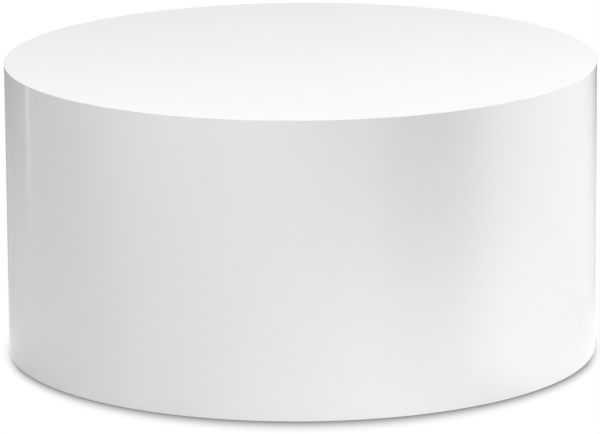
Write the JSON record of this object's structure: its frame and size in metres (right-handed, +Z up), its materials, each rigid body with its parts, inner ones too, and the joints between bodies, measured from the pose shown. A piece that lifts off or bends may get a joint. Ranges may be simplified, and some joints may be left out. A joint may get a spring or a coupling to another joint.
{
  "type": "round coffee table",
  "caption": "Round drum coffee table with a flat top and a plain bent wall in white gloss lacquer over a plywood frame, standing on hidden screw-in levelling feet.",
  "frame": {"origin": "centre of the drum on the floor", "axes": "+Z up along the drum's axis, +X to the right and -Y towards the viewer in the picture"},
  "size_m": [0.9144, 0.9144, 0.4572],
  "materials": {
    "white_lacquer": "white high-gloss lacquer over fibreboard",
    "bending_plywood": "bare bending plywood",
    "birch_plywood": "bare plywood with layered edges",
    "softwood": "planed softwood",
    "zinc_screw": "zinc plated",
    "zinc_steel": "zinc plated",
    "nylon": "moulded nylon"
  },
  "bodies": {
    "drum": {"top_panel": "white_lacquer", "wall_panel_front": "white_lacquer", "wall_panel_back": "white_lacquer", "wall_liner_left": "bending_plywood", "wall_liner_right": "bending_plywood", "top_ring": "birch_plywood", "middle_ring": "birch_plywood", "base_ring": "birch_plywood", "upright_1": "softwood", "upright_2": "softwood", "upright_3": "softwood", "upright_4": "softwood", "upright_5": "softwood", "upright_6": "softwood", "base_screw_1": "zinc_screw", "base_screw_2": "zinc_screw", "base_screw_3": "zinc_screw", "base_screw_4": "zinc_screw", "base_screw_5": "zinc_screw", "base_screw_6": "zinc_screw", "middle_screw_1": "zinc_screw", "middle_screw_2": "zinc_screw", "middle_screw_3": "zinc_screw", "middle_screw_4": "zinc_screw", "middle_screw_5": "zinc_screw", "middle_screw_6": "zinc_screw", "top_screw_1": "zinc_screw", "top_screw_2": "zinc_screw", "top_screw_3": "zinc_screw", "top_screw_4": "zinc_screw", "top_screw_5": "zinc_screw", "top_screw_6": "zinc_screw", "panel_screw_1": "zinc_screw", "panel_screw_2": "zinc_screw", "panel_screw_3": "zinc_screw", "panel_screw_4": "zinc_screw", "panel_screw_5": "zinc_screw", "panel_screw_6": "zinc_screw", "insert_nut_1": "zinc_steel", "insert_nut_2": "zinc_steel", "insert_nut_3": "zinc_steel", "insert_nut_4": "zinc_steel", "insert_nut_5": "zinc_steel", "insert_nut_6": "zinc_steel"},
    "foot_1": {"glide_pad_1": "nylon"},
    "stem_1": {"glide_stem_1": "zinc_steel"},
    "foot_2": {"glide_pad_2": "nylon"},
    "stem_2": {"glide_stem_2": "zinc_steel"},
    "foot_3": {"glide_pad_3": "nylon"},
    "stem_3": {"glide_stem_3": "zinc_steel"},
    "foot_4": {"glide_pad_4": "nylon"},
    "stem_4": {"glide_stem_4": "zinc_steel"},
    "foot_5": {"glide_pad_5": "nylon"},
    "stem_5": {"glide_stem_5": "zinc_steel"},
    "foot_6": {"glide_pad_6": "nylon"},
    "stem_6": {"glide_stem_6": "zinc_steel"}
  },
  "joints": [
    {"name": "foot_1_lift", "type": "slide", "parent": "drum", "child": "foot_1", "axis": [0, 0, -1], "range_m": [0, 0.015]},
    {"name": "foot_1_turn", "type": "hinge", "parent": "foot_1", "child": "stem_1", "pos_m": [0.35126, 0.2028, 0], "axis": [0, 0, -1], "range_deg": [0, 4320]},
    {"name": "foot_2_lift", "type": "slide", "parent": "drum", "child": "foot_2", "axis": [0, 0, -1], "range_m": [0, 0.015]},
    {"name": "foot_2_turn", "type": "hinge", "parent": "foot_2", "child": "stem_2", "pos_m": [0, 0.4056, 0], "axis": [0, 0, -1], "range_deg": [0, 4320]},
    {"name": "foot_3_lift", "type": "slide", "parent": "drum", "child": "foot_3", "axis": [0, 0, -1], "range_m": [0, 0.015]},
    {"name": "foot_3_turn", "type": "hinge", "parent": "foot_3", "child": "stem_3", "pos_m": [-0.35126, 0.2028, 0], "axis": [0, 0, -1], "range_deg": [0, 4320]},
    {"name": "foot_4_lift", "type": "slide", "parent": "drum", "child": "foot_4", "axis": [0, 0, -1], "range_m": [0, 0.015]},
    {"name": "foot_4_turn", "type": "hinge", "parent": "foot_4", "child": "stem_4", "pos_m": [-0.35126, -0.2028, 0], "axis": [0, 0, -1], "range_deg": [0, 4320]},
    {"name": "foot_5_lift", "type": "slide", "parent": "drum", "child": "foot_5", "axis": [0, 0, -1], "range_m": [0, 0.015]},
    {"name": "foot_5_turn", "type": "hinge", "parent": "foot_5", "child": "stem_5", "pos_m": [0, -0.4056, 0], "axis": [0, 0, -1], "range_deg": [0, 4320]},
    {"name": "foot_6_lift", "type": "slide", "parent": "drum", "child": "foot_6", "axis": [0, 0, -1], "range_m": [0, 0.015]},
    {"name": "foot_6_turn", "type": "hinge", "parent": "foot_6", "child": "stem_6", "pos_m": [0.35126, -0.2028, 0], "axis": [0, 0, -1], "range_deg": [0, 4320]}
  ],
  "couplings": [
    {"joint": "foot_1_lift", "follows": "foot_1_turn", "m_per_rad": 0.00019894},
    {"joint": "foot_2_lift", "follows": "foot_2_turn", "m_per_rad": 0.00019894},
    {"joint": "foot_3_lift", "follows": "foot_3_turn", "m_per_rad": 0.00019894},
    {"joint": "foot_4_lift", "follows": "foot_4_turn", "m_per_rad": 0.00019894},
    {"joint": "foot_5_lift", "follows": "foot_5_turn", "m_per_rad": 0.00019894},
    {"joint": "foot_6_lift", "follows": "foot_6_turn", "m_per_rad": 0.00019894}
  ]
}
